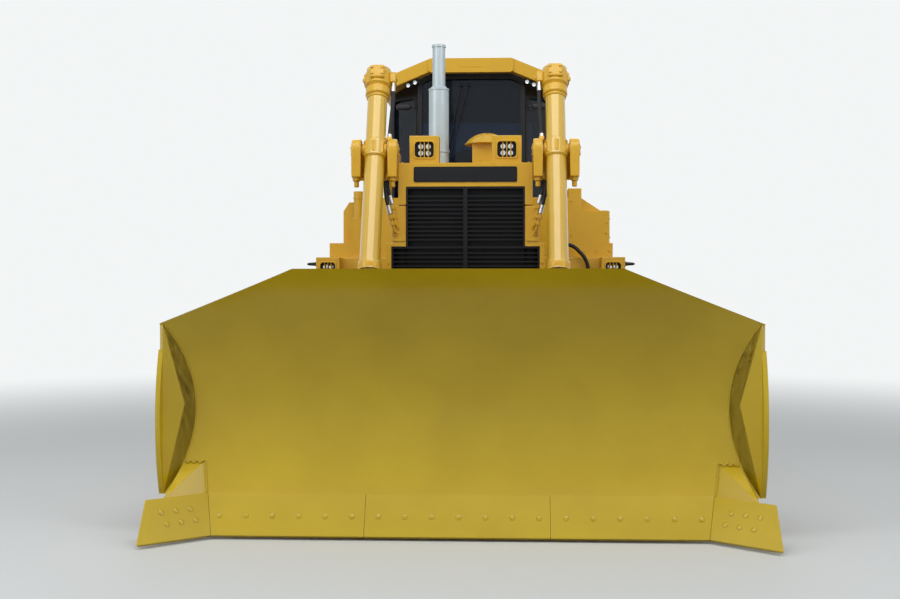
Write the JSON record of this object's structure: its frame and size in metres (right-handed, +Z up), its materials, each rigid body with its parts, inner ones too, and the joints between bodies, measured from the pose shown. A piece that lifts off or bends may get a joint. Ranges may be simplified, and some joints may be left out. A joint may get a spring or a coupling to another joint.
{
  "type": "crawler bulldozer",
  "caption": "Raised-sprocket crawler bulldozer with a semi-U blade on push arms, yoke-mounted lift cylinders, louvred radiator guard, closed cab and rear drawbar.",
  "frame": {"origin": "on the ground under the middle of the overall length and width", "axes": "+Z up, the machine drives towards -Y, its left side is +X"},
  "size_m": [3.948, 6.3406, 3.645],
  "materials": {
    "yellow_paint": "glossy",
    "blade_paint": "glossy",
    "black_paint": "satin",
    "track_steel": "matte",
    "bare_steel": "polished",
    "stack_paint": "satin",
    "glass": "clear",
    "seat_cover": "matte",
    "cab_plastic": "matte",
    "engine_iron": "matte"
  },
  "bodies": {
    "chassis": {"track_left": "track_steel", "track_right": "track_steel", "front_idlers": "yellow_paint", "rear_idlers": "yellow_paint", "sprockets": "yellow_paint", "track_rollers": "yellow_paint", "roller_frame_left": "yellow_paint", "roller_frame_right": "yellow_paint", "carrier_rollers": "yellow_paint", "cross_shafts": "yellow_paint", "equalizer_bar": "yellow_paint", "main_frame": "yellow_paint", "rear_case": "yellow_paint", "final_drives": "yellow_paint", "drawbar": "yellow_paint", "radiator_guard": "yellow_paint", "front_grille": "black_paint", "radiator_core": "black_paint", "hood_top": "yellow_paint", "hood_sides": "yellow_paint", "engine_block": "engine_iron", "exhaust_stack": "stack_paint", "air_intake": "yellow_paint", "hood_lamps": "yellow_paint", "lift_yokes": "yellow_paint", "cab_shell": "yellow_paint", "cab_roof": "yellow_paint", "cab_glass": "glass", "operator_seat": "seat_cover", "console": "cab_plastic", "cab_base": "yellow_paint", "fenders": "yellow_paint", "battery_box": "yellow_paint", "hydraulic_tank": "yellow_paint", "fuel_tank": "yellow_paint", "fender_lamps": "yellow_paint"},
    "blade": {"blade_bowl": "blade_paint", "cutting_edge": "blade_paint", "end_bits": "blade_paint", "blade_frame": "yellow_paint", "push_arms": "yellow_paint", "tilt_cylinder": "yellow_paint", "tilt_brace": "yellow_paint"},
    "barrel_left": {"lift_barrel_left": "yellow_paint"},
    "barrel_right": {"lift_barrel_right": "yellow_paint"},
    "rod_left": {"lift_rod_left": "bare_steel"},
    "rod_right": {"lift_rod_right": "bare_steel"},
    "door_left": {"cab_door_left": "yellow_paint", "door_glass_left": "glass"},
    "door_right": {"cab_door_right": "yellow_paint", "door_glass_right": "glass"}
  },
  "joints": [
    {"name": "blade_lift", "type": "hinge", "parent": "chassis", "child": "blade", "pos_m": [0, 0.5, 0.6], "axis": [-1, 0, 0], "range_deg": [-9, 20]},
    {"name": "barrel_swing_left", "type": "hinge", "parent": "chassis", "child": "barrel_left", "pos_m": [0.685, -1.38, 2.65], "axis": [-1, 0, 0], "range_deg": [-4.1, 8.7]},
    {"name": "rod_slide_left", "type": "slide", "parent": "barrel_left", "child": "rod_left", "axis": [0, 0.3933, 0.9194], "range_m": [-0.416, 0.912]},
    {"name": "door_swing_left", "type": "hinge", "parent": "chassis", "child": "door_left", "pos_m": [0.77, 1.3, 2.6], "axis": [0, 0, 1], "range_deg": [0, 95]},
    {"name": "barrel_swing_right", "type": "hinge", "parent": "chassis", "child": "barrel_right", "pos_m": [-0.685, -1.38, 2.65], "axis": [-1, 0, 0], "range_deg": [-4.1, 8.7]},
    {"name": "rod_slide_right", "type": "slide", "parent": "barrel_right", "child": "rod_right", "axis": [0, 0.3933, 0.9194], "range_m": [-0.416, 0.912]},
    {"name": "door_swing_right", "type": "hinge", "parent": "chassis", "child": "door_right", "pos_m": [-0.77, 1.3, 2.6], "axis": [0, 0, -1], "range_deg": [0, 95]}
  ],
  "couplings": [
    {"joint": "barrel_swing_left", "follows": "blade_lift", "ratio": 0.425},
    {"joint": "rod_slide_left", "follows": "blade_lift", "m_per_rad": 2.585},
    {"joint": "barrel_swing_right", "follows": "blade_lift", "ratio": 0.425},
    {"joint": "rod_slide_right", "follows": "blade_lift", "m_per_rad": 2.585}
  ]
}
